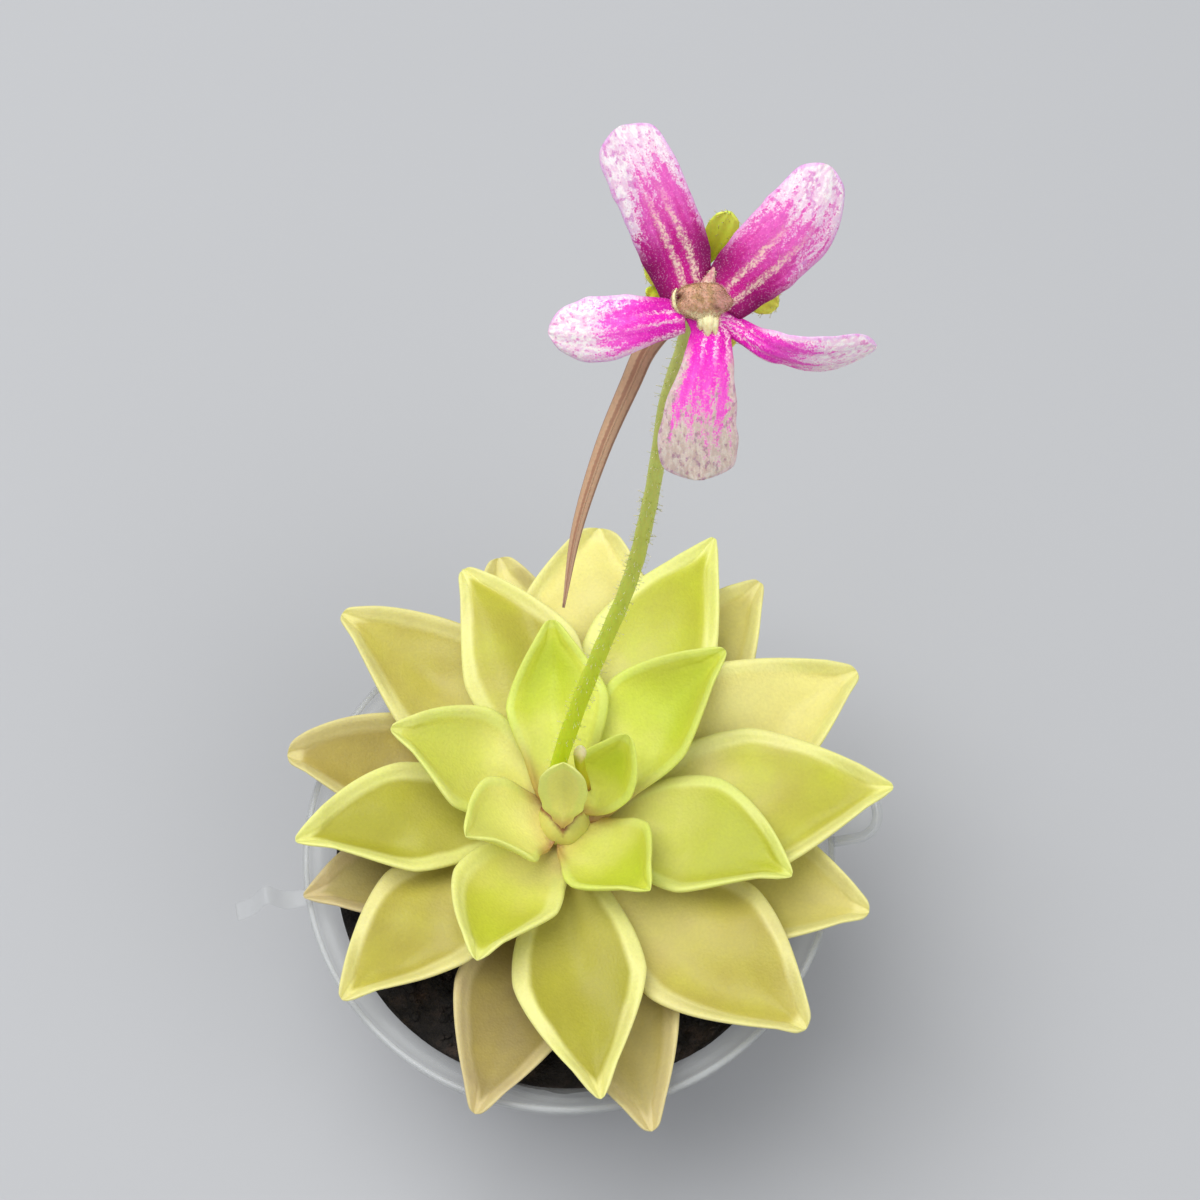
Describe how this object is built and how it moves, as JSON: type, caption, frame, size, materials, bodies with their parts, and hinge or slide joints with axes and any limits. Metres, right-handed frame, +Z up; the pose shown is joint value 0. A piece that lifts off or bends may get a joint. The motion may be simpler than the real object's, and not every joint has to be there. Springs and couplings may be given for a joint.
{
  "type": "potted butterwort",
  "caption": "Butterwort rosette of fleshy pointed leaves in a clear flanged plastic cup of dark substrate, with a long-spurred five-lobed flower on a thin scape.",
  "frame": {"origin": "centre of the cup's flat underside, which is the mount base", "axes": "+Z up from the underside towards the flower; the flower faces up and towards -Y, and the lid-catch tab points near +X"},
  "size_m": [0.0757, 0.0718, 0.1383],
  "materials": {
    "clear_plastic": "gloss",
    "dark_substrate": "matte",
    "crown_tissue": "matte",
    "leaf_old": "satin",
    "leaf_pale": "satin",
    "leaf_young": "satin",
    "scape_green": "satin",
    "spur_tan": "matte",
    "petal_magenta": "matte",
    "sepal_green": "satin",
    "pistil_cream": "satin",
    "stamen_cream": "satin"
  },
  "bodies": {
    "root": {"pot": "clear_plastic", "substrate": "dark_substrate", "crown": "crown_tissue", "leaf_01": "leaf_old", "leaf_02": "leaf_old", "leaf_03": "leaf_old", "leaf_04": "leaf_old", "leaf_05": "leaf_old", "leaf_06": "leaf_old", "leaf_07": "leaf_old", "leaf_08": "leaf_old", "leaf_09": "leaf_old", "leaf_10": "leaf_pale", "leaf_11": "leaf_pale", "leaf_12": "leaf_pale", "leaf_13": "leaf_pale", "leaf_14": "leaf_pale", "leaf_15": "leaf_pale", "leaf_16": "leaf_pale", "leaf_17": "leaf_pale", "leaf_18": "leaf_pale", "leaf_19": "leaf_young", "leaf_20": "leaf_young", "leaf_21": "leaf_young", "leaf_22": "leaf_young", "leaf_23": "leaf_young", "leaf_24": "leaf_young", "leaf_25": "leaf_young", "leaf_26": "leaf_young", "leaf_27": "leaf_young", "scape": "scape_green", "corolla_tube": "spur_tan", "petal_upper_left": "petal_magenta", "petal_upper_right": "petal_magenta", "petal_lower_left": "petal_magenta", "petal_lower_middle": "petal_magenta", "petal_lower_right": "petal_magenta", "sepal_top": "sepal_green", "sepal_left": "sepal_green", "sepal_lower_left": "sepal_green", "sepal_right": "sepal_green", "sepal_lower_right": "sepal_green", "pistil": "pistil_cream", "stamen_left": "stamen_cream", "stamen_right": "stamen_cream"}
  },
  "joints": []
}
